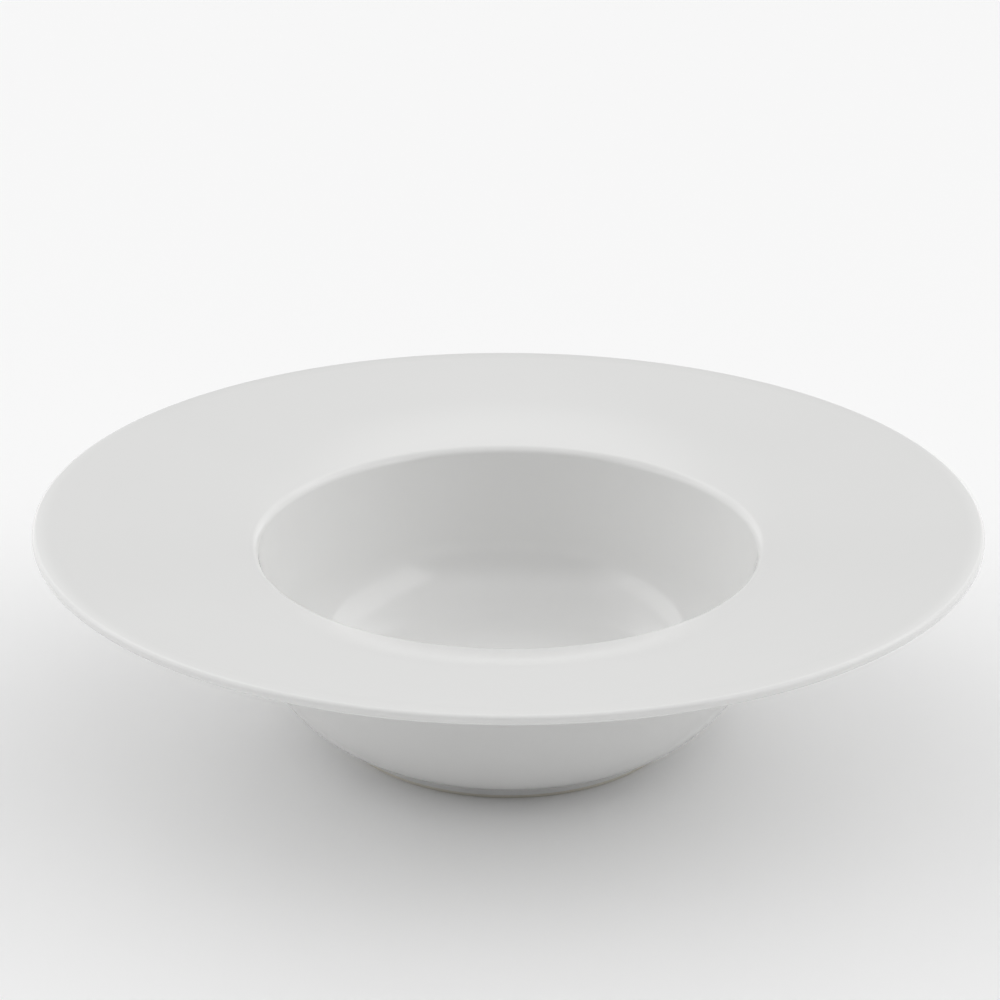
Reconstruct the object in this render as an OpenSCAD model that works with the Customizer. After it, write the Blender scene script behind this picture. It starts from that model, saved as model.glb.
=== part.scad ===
// Wide-rimmed pasta bowl of glazed white porcelain.
// The origin is on the table under the middle of the bowl, with +Z up. Sizes are in millimetres
// and are those of the finished, glazed bowl.

/* [Rim] */
// Diameter over the lip
rim_d = 300; // [280:1:330]
// Height of the lip above the table
bowl_h = 78; // [74:1:86]
// Slope of the rim's upper face, in degrees from level
rim_slope = 11.2; // [9:0.1:13]
// Slope of the rim's upper face beside the well, in degrees from level
inner_slope = 17; // [14:0.1:20]
// Distance from the well's mouth to where the rim's two slopes would meet
sweep_w = 16; // [10:1:22]
// Distance from the lip's edge to where the rim's slope would meet the lip's level crest
crest_w = 4.2; // [3:0.1:7]
// Height of the lip's upright edge
lip_t = 2.6; // [2.4:0.1:4]
// Thickness of the rim at its root, over the well's wall
root_t = 5; // [4:0.1:7]
// Radius of the lip's upper edge
lip_top_r = 1.3; // [0.8:0.1:1.3]
// Radius of the lip's lower edge
lip_low_r = 1.1; // [0.7:0.1:1.2]

/* [Well] */
// Diameter of the well's mouth, where its wall would meet the rim's slope
well_d = 162; // [150:1:170]
// Lean of the well's wall, in degrees from upright
well_lean = 9.4; // [6:0.1:13]
// Height of the well's floor above the table
floor_h = 7.5; // [6.5:0.1:10]
// Radius of the shoulder between the rim and the well's wall
shoulder_r = 3.5; // [2:0.1:6]

/* [Outside] */
// Thickness of the wall below the rim
wall_t = 4.5; // [3.5:0.1:6]
// Thickness of the wall where the belly leaves the foot
belly_t = 5.3; // [4.5:0.1:6.5]
// Lean of the outside wall, in degrees from upright
side_lean = 3.5; // [1:0.1:6]
// Rise of the belly where it leaves the foot, in degrees from level
belly_rise = 23.3; // [18:0.1:28]
// Radius of the cove between the rim's underside and the outside wall
cove_r = 9; // [4:0.5:14]

/* [Foot] */
// Diameter of the foot ring
foot_d = 116; // [105:1:125]
// Height of the foot ring's outer face
foot_h = 3.5; // [2.8:0.1:5]
// Width of the foot ring's standing face
foot_w = 4.5; // [3:0.1:7]
// Lean of the foot ring's inner face, in degrees from upright
foot_lean = 12; // [4:1:20]
// Height of the recess inside the foot ring
recess_h = 2.6; // [2.2:0.1:3.2]
// Radius of the foot ring's lower edges
foot_edge_r = 0.8; // [0.5:0.1:1]
// Radius of the groove where the belly meets the foot ring
foot_cove_r = 1.2; // [0.6:0.1:2]
// Radius of the corner at the recess's edge
recess_cove_r = 1.5; // [0.8:0.1:2]

/* [Glaze] */
// Thickness of the fired glaze
glaze_t = 0.3; // [0.2:0.05:0.4]
// Height of the bare band along the foot ring's standing edge
bare_h = 1.3; // [1.1:0.1:1.8]

/* [Hidden] */
$fn = 180;

// An arc stands this far proud of the two lines that it joins, so that they always cross
arc_lap = 0.004;
// A cut or a fill reaches this far past the face that it works on
reach = 0.2;
// Shortest straight stretch left between two roundings
least_flat = 0.2;

rim_r = rim_d / 2;
foot_r = foot_d / 2;

// The lines that the section is drawn from, each as a point and a direction
rim_top = [[rim_r - crest_w, bowl_h], [cos(rim_slope), sin(rim_slope)]];
sweep_x = well_d / 2 + sweep_w;
rim_inner = [
    [sweep_x, bowl_h - (rim_r - crest_w - sweep_x) * tan(rim_slope)],
    [cos(inner_slope), sin(inner_slope)]
];
well_wall = [
    rim_inner[0] - sweep_w * [1, tan(inner_slope)],
    [sin(well_lean), cos(well_lean)]
];
rim_root = well_wall[0] - [0, root_t];
rim_under = [rim_root, [rim_r, bowl_h - lip_t] - rim_root];
outside_wall = [
    rim_root + [wall_t - root_t * tan(well_lean), 0],
    [sin(side_lean), cos(side_lean)]
];
belly_line = [[foot_r, foot_h], [cos(belly_rise), sin(belly_rise)]];
level = [1, 0];

// Corners of the section before rounding
belly_corner = meeting(belly_line, outside_wall);
cove_corner = meeting(outside_wall, rim_under);
bend_corner = meeting(well_wall, [[0, floor_h], level]);

// The belly's arc fills the stretch from the foot ring's groove to the cove under the rim
belly_turn = 90 - belly_rise - side_lean;
groove_len = foot_cove_r * tan((90 - belly_rise) / 2);
cove_turn = 90 - side_lean - angle_of(rim_under[1]);
cove_len = cove_r * tan(cove_turn / 2);
belly_len = min(
    norm(belly_corner - belly_line[0]) - groove_len - least_flat,
    norm(belly_corner - cove_corner) - cove_len - least_flat
);
belly_r = belly_len / tan(belly_turn / 2);

// The bend between the well's wall and its floor leaves the wall its thickness over the belly. Its centre
// moves off the corner by one step for each millimetre of its radius.
belly_up = [-sin(belly_rise), cos(belly_rise)];
bend_step = [-tan((90 - well_lean) / 2), 1];
bend_r = (belly_t - (bend_corner - belly_line[0]) * belly_up) / (bend_step * belly_up - 1);

// The sweep between the rim's two slopes reaches to the shoulder's arc
shoulder_len = shoulder_r * tan((90 - well_lean - inner_slope) / 2);
sweep_len = sweep_w / cos(inner_slope) - shoulder_len - least_flat;
sweep_r = sweep_len / tan((inner_slope - rim_slope) / 2);

// The roll from the rim's slope to the lip's crest fills the crest
roll_r = (crest_w - lip_top_r - least_flat) / tan(rim_slope / 2);

foot_inner_r = foot_r - foot_w;
recess_r = foot_inner_r - recess_h * tan(foot_lean);

// Glaze splits inside the foot ring's width and inside the floor's thickness
split_r = foot_r - foot_w / 2;
split_h = (recess_h + floor_h) / 2;

// Each corner of an outline is its place, its radius, and 1 where the edge that leaves it is glazed
outside_outline = [
    [[0, recess_h], 0, 1],
    [[recess_r, recess_h], recess_cove_r, 1],
    [[foot_inner_r, 0], foot_edge_r, 0],
    [[foot_r, 0], foot_edge_r, 1],
    [[foot_r, foot_h], foot_cove_r, 1],
    [belly_corner, belly_r, 1],
    [cove_corner, cove_r, 1],
    [[rim_r, bowl_h - lip_t], lip_low_r, 1],
    [[rim_r, bowl_h], lip_top_r, 1],
    [rim_top[0], roll_r, 1],
    [rim_inner[0], sweep_r, 1],
    [on_axis(rim_inner), 0, 0]
];
well_outline = [
    [[0, floor_h], 0, 1],
    [bend_corner, bend_r, 1],
    [meeting(well_wall, [[0, bowl_h], level]), 0, 0],
    [[0, bowl_h], 0, 0]
];

// Where two lines meet
function meeting(a, b) = a[0] + a[1] * cross(b[0] - a[0], b[1]) / cross(a[1], b[1]);

// Where a line meets the bowl's axis
function on_axis(line) = meeting(line, [[0, 0], [0, 1]]);

// A direction's angle from level
function angle_of(v) = atan2(v[1], v[0]);

// A direction of length one
function unit(v) = v / norm(v);

// A line moved to its left by a distance
function shifted(line, distance) = [line[0] + distance * unit([-line[1][1], line[1][0]]), line[1]];

// The edge that leaves a corner of an outline, moved in under the glaze where it is glazed
function edge(outline, i, depth) =
    let (n = len(outline))
    let (from = outline[(i + n) % n])
    let (to = outline[(i + 1) % n])
    shifted([from[0], to[0] - from[0]], depth * from[2]);

// 1 where an outline turns left at a corner, and -1 where it turns right
function turn(outline, i) = sign(cross(edge(outline, i - 1, 0)[1], edge(outline, i, 0)[1]));

// An outline with its glazed edges moved in by a depth, and its arcs kept on their centres
function moved_in(outline, depth) = [
    for (i = [0 : len(outline) - 1])
        let (corner = outline[i])
        [
            meeting(edge(outline, i - 1, depth), edge(outline, i, depth)),
            corner[1] == 0 ? 0 : corner[1] - depth * turn(outline, i),
            corner[2]
        ]
];

// The centre of the arc that rounds the corner k between a and b, and where it touches both sides
function rounding(a, k, b, r) =
    let (to_a = unit(a - k))
    let (to_b = unit(b - k))
    let (half = acos(to_a * to_b) / 2)
    [k + unit(to_a + to_b) * r / sin(half), k + to_a * r / tan(half), k + to_b * r / tan(half)];

// The rounding at a corner of an outline
function corner_rounding(outline, i) =
    let (n = len(outline))
    rounding(outline[(i + n - 1) % n][0], outline[i][0], outline[(i + 1) % n][0], outline[i][1]);

// What an arc cuts off the corner k that sticks out between a and b
module corner_cut(a, k, b, r) {
    arc = rounding(a, k, b, r);
    out_a = reach * unit(arc[1] - arc[0]);
    out_b = reach * unit(arc[2] - arc[0]);
    difference() {
        polygon([arc[0], arc[1] + out_a, k + (k - arc[0]) * reach / r, arc[2] + out_b]);
        translate(arc[0]) circle(r + arc_lap);
    }
}

// An outline with each corner rounded by its own radius. A corner that goes in is first filled
// straight across, and its arc is then cut out of the fill.
module rounded(outline) {
    corners = [0 : len(outline) - 1];
    n = len(outline);
    difference() {
        polygon([
            for (i = corners)
                let (arc = corner_rounding(outline, i))
                each turn(outline, i) < 0 ? [arc[1], arc[2]] : [outline[i][0]]
        ]);
        for (i = corners)
            if (turn(outline, i) < 0)
                translate(corner_rounding(outline, i)[0]) circle(outline[i][1] + arc_lap);
        for (i = corners)
            if (turn(outline, i) > 0 && outline[i][1] > 0)
                corner_cut(
                    outline[(i + n - 1) % n][0],
                    outline[i][0],
                    outline[(i + 1) % n][0],
                    outline[i][1]
                );
    }
}

// Half of the bowl's section, with its glazed faces moved in by a depth
module half_section(depth) {
    wall = shifted(well_wall, -depth);
    slope = shifted(rim_inner, -depth);
    shoulder = meeting(wall, slope);
    difference() {
        rounded(moved_in(outside_outline, depth));
        rounded(moved_in(well_outline, -depth));
        corner_cut(shoulder - wall[1], shoulder, shoulder + slope[1], shoulder_r - depth);
    }
}

// The skin between the finished section and the fired body
module glaze_skin() {
    difference() {
        half_section(0);
        half_section(glaze_t);
    }
}

// The fired clay, bare only along the standing edge of its foot ring
module porcelain_body() {
    color("gainsboro")
        rotate_extrude()
            half_section(glaze_t);
}

// The unbroken coat over the well, the rim, the lip and the outside, down to the foot ring
module glaze_coat() {
    color("whitesmoke")
        rotate_extrude()
            difference() {
                glaze_skin();
                translate([-reach, -reach]) square([rim_r, bare_h + reach]);
                translate([-reach, -reach]) square([split_r + reach, split_h + reach]);
            }
}

// The separate patch of glaze in the recess inside the foot ring
module base_glaze() {
    color("white")
        rotate_extrude()
            intersection() {
                glaze_skin();
                translate([0, bare_h]) square([split_r, split_h - bare_h]);
            }
}

porcelain_body();
glaze_coat();
base_glaze();
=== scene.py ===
"""A wide-rimmed pasta bowl of glazed white porcelain on a pale studio floor."""

import math

import bmesh
import bpy
from mathutils import Matrix, Vector


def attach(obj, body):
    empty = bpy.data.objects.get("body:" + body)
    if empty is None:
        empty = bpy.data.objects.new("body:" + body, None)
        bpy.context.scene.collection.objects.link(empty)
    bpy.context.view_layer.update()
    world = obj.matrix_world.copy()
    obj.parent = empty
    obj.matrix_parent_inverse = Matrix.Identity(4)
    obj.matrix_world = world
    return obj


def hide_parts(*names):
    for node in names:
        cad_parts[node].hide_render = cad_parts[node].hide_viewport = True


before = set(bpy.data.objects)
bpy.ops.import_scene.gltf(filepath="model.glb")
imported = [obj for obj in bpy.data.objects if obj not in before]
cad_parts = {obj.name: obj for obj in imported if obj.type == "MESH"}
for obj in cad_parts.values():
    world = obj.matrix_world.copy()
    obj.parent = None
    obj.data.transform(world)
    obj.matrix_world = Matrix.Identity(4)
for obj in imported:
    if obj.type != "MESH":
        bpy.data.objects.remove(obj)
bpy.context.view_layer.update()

MM = 0.001

# Sizes of the finished bowl in millimetres, on the lines and radii that its section is drawn from
RIM_R = 150.0
BOWL_H = 78.0
RIM_SLOPE = math.radians(11.2)
INNER_SLOPE = math.radians(17)
SWEEP_W = 16.0
CREST_W = 4.2
LIP_T = 2.6
ROOT_T = 5.0
LIP_TOP_R = 1.3
LIP_LOW_R = 1.1
WELL_R = 81.0
WELL_LEAN = math.radians(9.4)
FLOOR_H = 7.5
SHOULDER_R = 3.5
WALL_T = 4.5
BELLY_T = 5.3
SIDE_LEAN = math.radians(3.5)
BELLY_RISE = math.radians(23.3)
COVE_R = 9.0
FOOT_R = 58.0
FOOT_H = 3.5
FOOT_W = 4.5
FOOT_LEAN = math.radians(12)
RECESS_H = 2.6
FOOT_EDGE_R = 0.8
FOOT_COVE_R = 1.2
RECESS_COVE_R = 1.5
GLAZE_T = 0.3
BARE_H = 1.3
LEAST_FLAT = 0.2

# How finely the bowl is drawn: how far an arc's chords may leave it and the longest straight step, both in
# millimetres, the steps round the axis, the turn that is kept as a sharp edge, and how near to the axis, in
# millimetres, counts as on it
ARC_SAG = 0.005
LINE_STEP = 6.0
TURN_STEPS = 240
SHARP_TURN = math.radians(35)
ON_AXIS = 1e-6


def meeting(a, b):
    """Where two lines meet, each a point and a direction."""
    gap = b[0] - a[0]
    return a[0] + a[1] * (gap.x * b[1].y - gap.y * b[1].x) / (a[1].x * b[1].y - a[1].y * b[1].x)


def section_corners():
    """The finished section's corners, each a place and a radius.

    They run from the middle of the well's floor, over the rim and the foot, to the middle of the recess.
    """
    level = Vector((1, 0))
    crest = Vector((RIM_R - CREST_W, BOWL_H))
    sweep = Vector((WELL_R + SWEEP_W, BOWL_H - (crest.x - WELL_R - SWEEP_W) * math.tan(RIM_SLOPE)))
    shoulder = sweep - SWEEP_W * Vector((1, math.tan(INNER_SLOPE)))
    well_wall = (shoulder, Vector((math.sin(WELL_LEAN), math.cos(WELL_LEAN))))
    root = shoulder - Vector((0, ROOT_T))
    lip_low = Vector((RIM_R, BOWL_H - LIP_T))
    rim_under = (root, lip_low - root)
    outside = (
        root + Vector((WALL_T - ROOT_T * math.tan(WELL_LEAN), 0)),
        Vector((math.sin(SIDE_LEAN), math.cos(SIDE_LEAN))),
    )
    groove = Vector((FOOT_R, FOOT_H))
    rise = Vector((math.cos(BELLY_RISE), math.sin(BELLY_RISE)))
    belly = meeting((groove, rise), outside)
    cove = meeting(outside, rim_under)
    bend = meeting(well_wall, (Vector((0, FLOOR_H)), level))

    groove_len = FOOT_COVE_R * math.tan((math.pi / 2 - BELLY_RISE) / 2)
    cove_turn = math.pi / 2 - SIDE_LEAN - math.atan2(rim_under[1].y, rim_under[1].x)
    cove_len = COVE_R * math.tan(cove_turn / 2)
    belly_len = min(
        (belly - groove).length - groove_len - LEAST_FLAT,
        (belly - cove).length - cove_len - LEAST_FLAT,
    )
    belly_r = belly_len / math.tan((math.pi / 2 - BELLY_RISE - SIDE_LEAN) / 2)

    belly_up = Vector((-rise.y, rise.x))
    bend_step = Vector((-math.tan((math.pi / 2 - WELL_LEAN) / 2), 1))
    bend_r = (BELLY_T - (bend - groove).dot(belly_up)) / (bend_step.dot(belly_up) - 1)

    shoulder_len = SHOULDER_R * math.tan((math.pi / 2 - WELL_LEAN - INNER_SLOPE) / 2)
    sweep_len = SWEEP_W / math.cos(INNER_SLOPE) - shoulder_len - LEAST_FLAT
    sweep_r = sweep_len / math.tan((INNER_SLOPE - RIM_SLOPE) / 2)
    roll_r = (CREST_W - LIP_TOP_R - LEAST_FLAT) / math.tan(RIM_SLOPE / 2)
    inner_foot_r = FOOT_R - FOOT_W
    return [
        (Vector((0, FLOOR_H)), 0),
        (bend, bend_r),
        (shoulder, SHOULDER_R),
        (sweep, sweep_r),
        (crest, roll_r),
        (Vector((RIM_R, BOWL_H)), LIP_TOP_R),
        (lip_low, LIP_LOW_R),
        (cove, COVE_R),
        (belly, belly_r),
        (groove, FOOT_COVE_R),
        (Vector((FOOT_R, 0)), FOOT_EDGE_R),
        (Vector((inner_foot_r, 0)), FOOT_EDGE_R),
        (Vector((inner_foot_r - RECESS_H * math.tan(FOOT_LEAN), RECESS_H)), RECESS_COVE_R),
        (Vector((0, RECESS_H)), 0),
    ]


def moved_in(corners, depth, standing):
    """The corners with each edge but the bare standing one moved in, and the arcs on their centres."""
    lines = []
    for i, ((a, _), (b, _)) in enumerate(zip(corners, corners[1:])):
        way = (b - a).normalized()
        inward = Vector((way.y, -way.x))
        lines.append((a + inward * (0 if i == standing else depth), way))
    moved = [(lines[0][0], 0)]
    for (_, radius), a, b in zip(corners[1:-1], lines, lines[1:]):
        turns_in = a[1].x * b[1].y - a[1].y * b[1].x < 0
        moved.append((meeting(a, b), radius - depth if turns_in else radius + depth))
    end = lines[-1]
    moved.append((end[0] + end[1] * (corners[-1][0] - corners[-2][0]).length, 0))
    moved[-1][0].x = 0
    return moved


def rounded(corners):
    """Points along the corners' lines, with each corner turned on its arc."""
    stops = [corners[0][0]]
    for (a, _), (k, r), (b, _) in zip(corners, corners[1:], corners[2:]):
        to_a = (a - k).normalized()
        to_b = (b - k).normalized()
        half = to_a.angle(to_b) / 2
        centre = k + (to_a + to_b).normalized() * r / math.sin(half)
        start = k + to_a * r / math.tan(half) - centre
        turn = math.pi - 2 * half
        if to_a.x * to_b.y - to_a.y * to_b.x > 0:
            turn = -turn
        steps = max(2, math.ceil(abs(turn) / (2 * math.acos(1 - ARC_SAG / r))))
        for i in range(steps + 1):
            angle = turn * i / steps
            c, s = math.cos(angle), math.sin(angle)
            stops.append(centre + Vector((c * start.x - s * start.y, s * start.x + c * start.y)))
    stops.append(corners[-1][0])
    points = [stops[0]]
    for a, b in zip(stops, stops[1:]):
        steps = max(1, math.ceil((b - a).length / LINE_STEP))
        points += [a.lerp(b, i / steps) for i in range(1, steps + 1)]
    return points


def cut_at_height(points, height, half):
    """The part of a path before it first comes down to a height, or after it last goes up through it."""
    if half == "before":
        i = next(i for i, (a, b) in enumerate(zip(points, points[1:])) if a.y > height >= b.y)
    else:
        i = max(i for i, (a, b) in enumerate(zip(points, points[1:])) if a.y < height <= b.y)
    a, b = points[i], points[i + 1]
    edge = a.lerp(b, (height - a.y) / (b.y - a.y))
    return points[: i + 1] + [edge] if half == "before" else [edge] + points[i + 1 :]


def turned(name, path):
    """A closed piece turned about the axis from a path that starts and ends on it."""
    mesh = bpy.data.meshes.new(name)
    bm = bmesh.new()
    angles = [2 * math.pi * i / TURN_STEPS for i in range(TURN_STEPS)]
    rings = []
    for p in path:
        if p.x < ON_AXIS:
            rings.append([bm.verts.new((0, 0, p.y * MM))] * TURN_STEPS)
            continue
        places = [(p.x * MM * math.cos(t), p.x * MM * math.sin(t), p.y * MM) for t in angles]
        rings.append([bm.verts.new(place) for place in places])
    for low, high in zip(rings, rings[1:]):
        for i in range(TURN_STEPS):
            j = (i + 1) % TURN_STEPS
            corners = list(dict.fromkeys((low[i], low[j], high[j], high[i])))
            face = bm.faces.new(corners)
            face.smooth = True
    bmesh.ops.recalc_face_normals(bm, faces=bm.faces)
    for edge in bm.edges:
        edge.smooth = edge.calc_face_angle(0) < SHARP_TURN
    bm.to_mesh(mesh)
    bm.free()
    piece = bpy.data.objects.new(name, mesh)
    bpy.context.collection.objects.link(piece)
    weights = piece.modifiers.new("face_weights", "WEIGHTED_NORMAL")
    weights.keep_sharp = True
    return piece


def linear(hex_colour):
    """An sRGB hex colour as linear RGBA."""
    parts = [int(hex_colour[i : i + 2], 16) / 255 for i in (1, 3, 5)]
    return [c / 12.92 if c <= 0.04045 else ((c + 0.055) / 1.055) ** 2.4 for c in parts] + [1.0]


def add_node(tree, kind, inputs=None, **settings):
    """Adds a node with its settings, and gives each named input a value or a link."""
    made = tree.nodes.new(kind)
    for name, value in settings.items():
        setattr(made, name, value)
    for name, value in (inputs or {}).items():
        if isinstance(value, bpy.types.NodeSocket):
            tree.links.new(value, made.inputs[name])
        else:
            made.inputs[name].default_value = value
    return made


# Sockets of a mix node that mixes colours, whose names it shares with those for numbers
MIX_A = 6
MIX_B = 7
MIX_RESULT = 2


def new_material(name):
    """An empty node material and its tree."""
    material = bpy.data.materials.new(name)
    material.use_nodes = True
    material.node_tree.nodes.clear()
    return material, material.node_tree


# The glaze in millimetres: the breadth of its clouds of tint, of the changes in its gloss and of its slow
# ripple, and the ripple's depth
CLOUD_W = 45.0
SMEAR_W = 18.0
RIPPLE_W = 14.0
RIPPLE_DEPTH = 0.02


def glazed_porcelain():
    """Hard porcelain under a clear fired glaze: a soft even white with a faint, clear reflection on top."""
    material, tree = new_material("glazed_porcelain")
    place = add_node(tree, "ShaderNodeTexCoord").outputs["Object"]
    cloud = add_node(
        tree, "ShaderNodeTexNoise", {"Vector": place, "Scale": 1 / (CLOUD_W * MM), "Detail": 2.0}
    )
    tint = add_node(
        tree,
        "ShaderNodeMix",
        {"Factor": cloud.outputs["Fac"], MIX_A: linear("#E4E4E3"), MIX_B: linear("#E6E6E5")},
        data_type="RGBA",
    )
    smear = add_node(
        tree, "ShaderNodeTexNoise", {"Vector": place, "Scale": 1 / (SMEAR_W * MM), "Detail": 3.0}
    )
    gloss = add_node(
        tree, "ShaderNodeMapRange", {"Value": smear.outputs["Fac"], "To Min": 0.06, "To Max": 0.09}
    )
    ripple = add_node(
        tree, "ShaderNodeTexNoise", {"Vector": place, "Scale": 1 / (RIPPLE_W * MM), "Detail": 1.0}
    )
    bump = add_node(
        tree,
        "ShaderNodeBump",
        {"Height": ripple.outputs["Fac"], "Strength": 1.0, "Distance": RIPPLE_DEPTH * MM},
    )
    shader = add_node(
        tree,
        "ShaderNodeBsdfPrincipled",
        {
            "Base Color": tint.outputs[MIX_RESULT],
            "Roughness": gloss.outputs["Result"],
            "Normal": bump.outputs["Normal"],
            "IOR": 1.5,
        },
    )
    add_node(tree, "ShaderNodeOutputMaterial", {"Surface": shader.outputs["BSDF"]})
    return material


# The biscuit's grain in millimetres, its breadth and its depth. Real grain is too fine to show, so it is
# drawn coarser.
GRAIN_W = 0.5
GRAIN_DEPTH = 0.05


def biscuit_porcelain():
    """Bare fired porcelain, ground where it stands: creamier than the glaze, dry and finely grained."""
    material, tree = new_material("biscuit_porcelain")
    place = add_node(tree, "ShaderNodeTexCoord").outputs["Object"]
    grain = add_node(
        tree, "ShaderNodeTexNoise", {"Vector": place, "Scale": 1 / (GRAIN_W * MM), "Detail": 4.0}
    )
    tint = add_node(
        tree,
        "ShaderNodeMix",
        {"Factor": grain.outputs["Fac"], MIX_A: linear("#CFCABD"), MIX_B: linear("#DCD8CE")},
        data_type="RGBA",
    )
    bump = add_node(
        tree,
        "ShaderNodeBump",
        {"Height": grain.outputs["Fac"], "Strength": 0.6, "Distance": GRAIN_DEPTH * MM},
    )
    shader = add_node(
        tree,
        "ShaderNodeBsdfPrincipled",
        {
            "Base Color": tint.outputs[MIX_RESULT],
            "Roughness": 0.75,
            "Normal": bump.outputs["Normal"],
            "IOR": 1.5,
        },
    )
    add_node(tree, "ShaderNodeOutputMaterial", {"Surface": shader.outputs["BSDF"]})
    return material


def studio_paper():
    """Matt white background paper: an even white that takes the bowl's shadow without a clear reflection."""
    material, tree = new_material("studio_paper")
    shader = add_node(
        tree, "ShaderNodeBsdfPrincipled", {"Base Color": linear("#F5F5F5"), "Roughness": 0.9, "IOR": 1.4}
    )
    add_node(tree, "ShaderNodeOutputMaterial", {"Surface": shader.outputs["BSDF"]})
    return material


# Half the width of the floor, in metres
FLOOR_REACH = 25.0


def add_floor():
    """The pale floor that the bowl stands on, reaching past the camera's view."""
    mesh = bpy.data.meshes.new("floor")
    r = FLOOR_REACH
    mesh.from_pydata([(-r, -r, 0), (r, -r, 0), (r, r, 0), (-r, r, 0)], [], [(0, 1, 2, 3)])
    floor = bpy.data.objects.new("floor", mesh)
    bpy.context.collection.objects.link(floor)
    floor.data.materials.append(studio_paper())


# Soft boxes of light round the bowl, as seen from it in degrees: the azimuth from straight behind it,
# clockwise from above, and the elevation of a box's middle, half its width and half its height. Then come how
# wide its edge fades, as a share of its distance, and its strength.
LIGHTS = {
    "left_wall": (-72, 15, 52, 40, 0.5, 1.42),
    "right_wall": (74, 15, 54, 40, 0.5, 1.28),
    "left_box": (-87, 29, 24, 9, 0.06, 1.1),
    "right_box": (94, 36, 32, 12, 0.06, 1.15),
    "over": (0, 90, 40, 40, 0.7, 0.95),
    "over_back": (0, 53, 40, 8, 0.12, 0.85),
    "over_front": (180, 62, 50, 15, 0.4, 0.66),
    "front": (180, 20, 60, 20, 0.3, 0.12),
    "back": (0, 30, 25, 20, 0.3, 0.25),
    "low_back": (0, 3, 40, 8, 0.2, 0.5),
}
# Light from the rest of the studio
AMBIENT = 0.03


def direction(azimuth, elevation):
    """The direction at an azimuth and an elevation."""
    a, e = math.radians(azimuth), math.radians(elevation)
    return Vector((math.sin(a) * math.cos(e), math.cos(a) * math.cos(e), math.sin(e)))


def soft_box(tree, way, azimuth, elevation, half_width, half_height, edge, strength):
    """The light that comes along each way from one soft box."""
    middle = direction(azimuth, elevation)
    ahead = add_node(tree, "ShaderNodeVectorMath", {0: way, 1: middle}, operation="DOT_PRODUCT")
    light = add_node(
        tree, "ShaderNodeMath", {0: ahead.outputs["Value"], 1: 0.0}, operation="GREATER_THAN"
    )
    for axis, half in (
        (direction(azimuth + 90, 0), half_width),
        (direction(azimuth, elevation + 90), half_height),
    ):
        aside = add_node(tree, "ShaderNodeVectorMath", {0: way, 1: axis}, operation="DOT_PRODUCT")
        share = add_node(
            tree,
            "ShaderNodeMath",
            {0: aside.outputs["Value"], 1: ahead.outputs["Value"]},
            operation="DIVIDE",
        )
        off = add_node(tree, "ShaderNodeMath", {0: share.outputs["Value"]}, operation="ABSOLUTE")
        reach = math.tan(math.radians(half))
        fade = add_node(
            tree,
            "ShaderNodeMapRange",
            {
                "Value": off.outputs["Value"],
                "From Min": reach - edge,
                "From Max": reach + edge,
                "To Min": 1.0,
                "To Max": 0.0,
            },
            interpolation_type="SMOOTHSTEP",
        )
        light = add_node(
            tree,
            "ShaderNodeMath",
            {0: light.outputs["Value"], 1: fade.outputs["Result"]},
            operation="MULTIPLY",
        )
    lit = add_node(tree, "ShaderNodeMath", {0: light.outputs["Value"], 1: strength}, operation="MULTIPLY")
    return lit.outputs["Value"]


def add_light():
    """Soft boxes far away on all sides, so that the floor is lit evenly."""
    world = bpy.data.worlds.new("studio")
    bpy.context.scene.world = world
    world.use_nodes = True
    tree = world.node_tree
    tree.nodes.clear()
    way = add_node(tree, "ShaderNodeTexCoord").outputs["Generated"]
    total = AMBIENT
    for box in LIGHTS.values():
        total = add_node(tree, "ShaderNodeMath", {0: soft_box(tree, way, *box), 1: total}).outputs["Value"]
    glow = add_node(tree, "ShaderNodeBackground", {"Strength": total})
    add_node(tree, "ShaderNodeOutputWorld", {"Surface": glow.outputs["Background"]})


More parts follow.
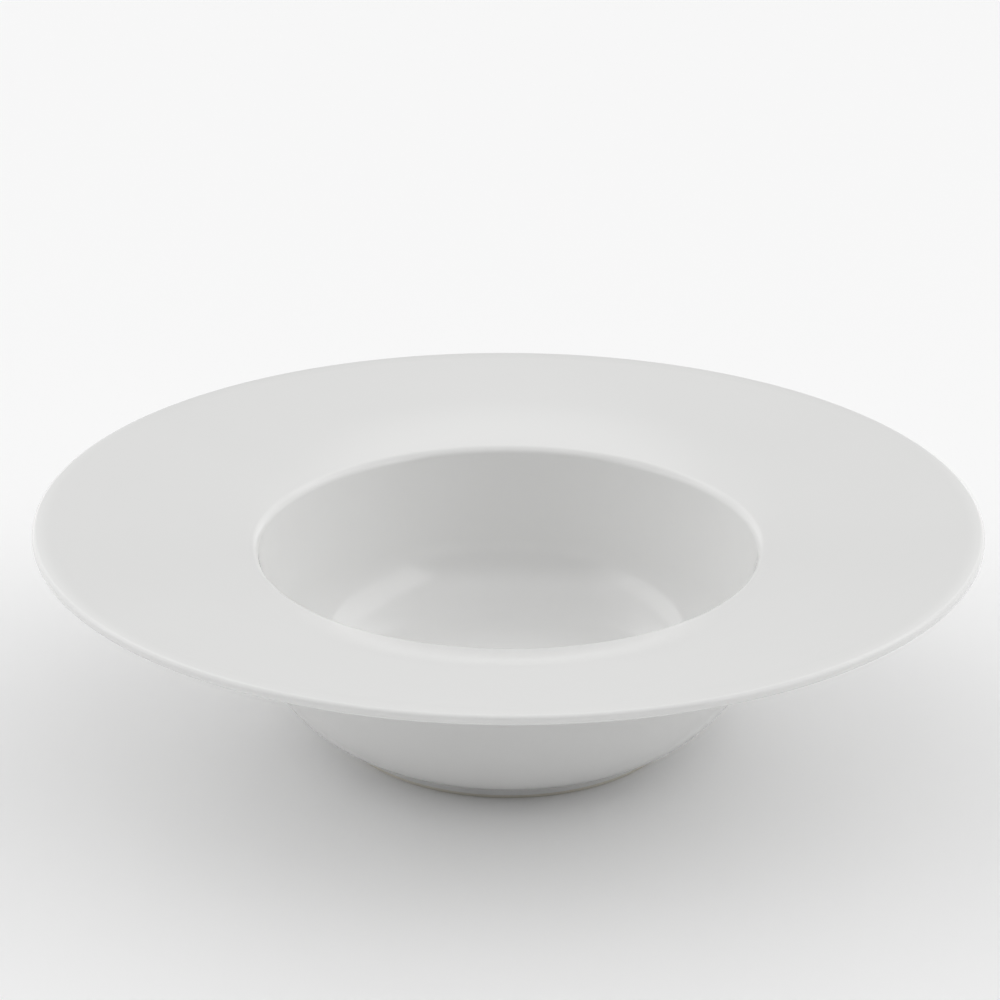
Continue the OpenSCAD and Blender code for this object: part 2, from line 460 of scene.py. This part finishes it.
# The camera in millimetres and degrees: how far it is from the middle of the lip's plane and how high above
# that plane, how far its aim lies aside of and below that middle, its lens, its sensor's width and its roll.
# It sees as far as CAMERA_REACH, in metres.
CAMERA_DISTANCE = 650.0
CAMERA_RISE = math.radians(21.93)
CAMERA_AIM = Vector((-2.62, 0, -1.6))
CAMERA_LENS = 72.71
CAMERA_SENSOR = 36.0
CAMERA_ROLL = math.radians(0.153)
CAMERA_REACH = 100.0


def add_camera():
    """The photograph's view, from a little above the rim."""
    data = bpy.data.cameras.new("camera")
    data.lens = CAMERA_LENS
    data.sensor_width = CAMERA_SENSOR
    data.clip_end = CAMERA_REACH
    camera = bpy.data.objects.new("camera", data)
    bpy.context.collection.objects.link(camera)
    place = Vector((0, -math.cos(CAMERA_RISE), math.sin(CAMERA_RISE))) * CAMERA_DISTANCE
    back = place - CAMERA_AIM
    turn = back.to_track_quat("Z", "Y").to_matrix().to_4x4() @ Matrix.Rotation(CAMERA_ROLL, 4, "Z")
    camera.matrix_world = Matrix.Translation((place + Vector((0, 0, BOWL_H))) * MM) @ turn
    bpy.context.scene.camera = camera


# The bare standing edge starts at the first corner on the table
finished = section_corners()
bare_edge = next(i for i, (place, _) in enumerate(finished) if place.y == 0)
clay = moved_in(finished, GLAZE_T, bare_edge)
outer_path = rounded(finished)
clay_path = rounded(clay)

# Each glaze runs out along its finished face and back along the clay, and stops above the bare edge
coat_path = cut_at_height(outer_path, BARE_H, "before") + cut_at_height(clay_path, BARE_H, "before")[::-1]
base_path = cut_at_height(outer_path, BARE_H, "after")[::-1] + cut_at_height(clay_path, BARE_H, "after")
glaze = glazed_porcelain()
biscuit = biscuit_porcelain()
for name, path, material, node, slot in (
    ("bowl_body", clay_path, biscuit, "porcelain_body", "bare_porcelain"),
    ("bowl_glaze", coat_path, glaze, "glaze_coat", "white_glaze"),
    ("recess_glaze", base_path, glaze, "base_glaze", "white_glaze"),
):
    piece = turned(name, path)
    piece.data.materials.append(material)
    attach(piece, "root")
    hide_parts(node)

add_floor()
add_light()
add_camera()
# Tones are shown as they are lit, as in a plain product photograph
bpy.context.scene.view_settings.view_transform = "Standard"
